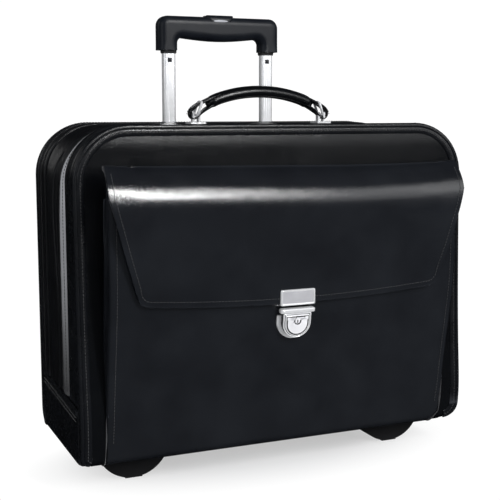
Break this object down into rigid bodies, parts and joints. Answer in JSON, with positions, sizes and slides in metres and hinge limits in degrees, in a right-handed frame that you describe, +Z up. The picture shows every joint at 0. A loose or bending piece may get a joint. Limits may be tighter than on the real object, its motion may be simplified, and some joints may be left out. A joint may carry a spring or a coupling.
{
  "type": "rolling laptop case",
  "caption": "Upright leather laptop case on rear wheels and front feet, with zipped sections, a flapped front pocket with a lock, a carrying handle and a telescopic trolley handle.",
  "frame": {"origin": "on the floor, at the middle of the footprint's bounding box", "axes": "+Z up, -Y out of the front with the flap and lock, +Y to the trolley and wheels, +X to the right seen from the front"},
  "size_m": [0.43, 0.2314, 0.4795],
  "materials": {
    "black_leather": "polished, fine grain",
    "lining_fabric": "woven",
    "foam_padding": "padded",
    "zip_tape": "woven",
    "zip_metal": "satin",
    "tube_aluminium": "bright anodised",
    "polished_chrome": "polished",
    "grip_plastic": "fine moulded texture",
    "dark_plastic": "moulded",
    "hub_plastic": "silver-grey",
    "tyre_rubber": "matt",
    "steel": "satin"
  },
  "bodies": {
    "case_back": {"base_board": "grip_plastic", "base_boot_left": "black_leather", "base_boot_right": "black_leather", "back_shell": "black_leather", "rear_zip_tape_back": "zip_tape", "document_pocket": "lining_fabric", "wheel_housing_left": "grip_plastic", "wheel_axle_left": "steel", "wheel_housing_right": "grip_plastic", "wheel_axle_right": "steel", "front_foot_left": "dark_plastic", "front_foot_right": "dark_plastic", "trolley_cover": "black_leather", "trolley_bezel": "grip_plastic", "trolley_foot": "grip_plastic", "outer_tube_left": "tube_aluminium", "outer_tube_right": "tube_aluminium"},
    "wheel_left": {"wheel_tyre_left": "tyre_rubber", "wheel_hub_left": "hub_plastic"},
    "wheel_right": {"wheel_tyre_right": "tyre_rubber", "wheel_hub_right": "hub_plastic"},
    "trolley_middle": {"middle_tube_left": "tube_aluminium", "middle_slide_left": "dark_plastic", "middle_tube_right": "tube_aluminium", "middle_slide_right": "dark_plastic"},
    "trolley_top": {"top_tube_left": "tube_aluminium", "top_slide_left": "dark_plastic", "top_tube_right": "tube_aluminium", "top_slide_right": "dark_plastic", "grip": "grip_plastic"},
    "trolley_release": {"release_button": "grip_plastic", "release_bar": "dark_plastic", "release_rod_left": "steel", "release_rod_right": "steel"},
    "middle_section": {"middle_frame": "black_leather", "front_zip_tape_middle": "zip_tape", "rear_zip_tape_middle": "zip_tape", "divider": "lining_fabric", "laptop_sleeve": "foam_padding", "sleeve_strap": "lining_fabric", "handle_bracket_left": "polished_chrome", "handle_bracket_right": "polished_chrome"},
    "handle": {"handle_ring_left": "polished_chrome", "handle_ring_right": "polished_chrome", "carry_handle": "black_leather"},
    "front_section": {"front_panel": "black_leather", "front_frame": "black_leather", "front_zip_tape_front": "zip_tape", "organizer_pocket": "lining_fabric", "front_pocket": "black_leather", "lock_base": "polished_chrome", "lock_body": "polished_chrome"},
    "pocket_flap": {"flap": "black_leather", "flap_plate": "polished_chrome"},
    "lock_release": {"lock_button": "polished_chrome"},
    "lock_key": {"key_cylinder": "steel"},
    "front_slider": {"front_zip_slider": "zip_metal"},
    "front_pull": {"front_zip_pull": "zip_metal"},
    "rear_slider": {"rear_zip_slider": "zip_metal"},
    "rear_pull": {"rear_zip_pull": "zip_metal"}
  },
  "joints": [
    {"name": "rear_zip_opening", "type": "hinge", "parent": "case_back", "child": "middle_section", "pos_m": [0, -0.06475, 0.0365], "axis": [1, 0, 0], "range_deg": [0, 20]},
    {"name": "front_zip_opening", "type": "hinge", "parent": "middle_section", "child": "front_section", "pos_m": [0, -0.06475, 0.0365], "axis": [1, 0, 0], "range_deg": [0, 25]},
    {"name": "flap_hinge", "type": "hinge", "parent": "front_section", "child": "pocket_flap", "pos_m": [0, -0.09475, 0.3185], "axis": [-1, 0, 0], "range_deg": [0, 150]},
    {"name": "lock_press", "type": "slide", "parent": "front_section", "child": "lock_release", "axis": [0, 0.9903, 0.1386], "range_m": [0, 0.0018], "stiffness_N_per_m": 1500, "springref_m": -0.002},
    {"name": "key_turn", "type": "hinge", "parent": "lock_release", "child": "lock_key", "pos_m": [0, -0.10816, 0.16439], "axis": [0, 0.9903, 0.1386], "range_deg": [0, 90]},
    {"name": "handle_fold", "type": "hinge", "parent": "middle_section", "child": "handle", "pos_m": [0, -0.01475, 0.368], "axis": [1, 0, 0], "range_deg": [-70, 70]},
    {"name": "trolley_lower", "type": "slide", "parent": "case_back", "child": "trolley_middle", "axis": [0, 0, 1], "range_m": [0, 0.255]},
    {"name": "trolley_upper", "type": "slide", "parent": "trolley_middle", "child": "trolley_top", "axis": [0, 0, 1], "range_m": [-0.077, 0.17]},
    {"name": "release_press", "type": "slide", "parent": "trolley_top", "child": "trolley_release", "axis": [0, 0, -1], "range_m": [0, 0.0035], "stiffness_N_per_m": 1500, "springref_m": -0.003},
    {"name": "wheel_left_spin", "type": "hinge", "parent": "case_back", "child": "wheel_left", "pos_m": [-0.1625, 0.08325, 0.028], "axis": [1, 0, 0], "continuous": true},
    {"name": "wheel_right_spin", "type": "hinge", "parent": "case_back", "child": "wheel_right", "pos_m": [0.1625, 0.08325, 0.028], "axis": [1, 0, 0], "continuous": true},
    {"name": "front_slider_run", "type": "slide", "parent": "middle_section", "child": "front_slider", "axis": [0, 0, 1], "range_m": [0, 0.15]},
    {"name": "front_pull_swing", "type": "hinge", "parent": "front_slider", "child": "front_pull", "pos_m": [0.2142, -0.03075, 0.1385], "axis": [0, -1, 0], "range_deg": [0, 170]},
    {"name": "rear_slider_run", "type": "slide", "parent": "case_back", "child": "rear_slider", "axis": [0, 0, 1], "range_m": [0, 0.15]},
    {"name": "rear_pull_swing", "type": "hinge", "parent": "rear_slider", "child": "rear_pull", "pos_m": [0.2142, 0.05325, 0.1385], "axis": [0, -1, 0], "range_deg": [0, 170]}
  ]
}
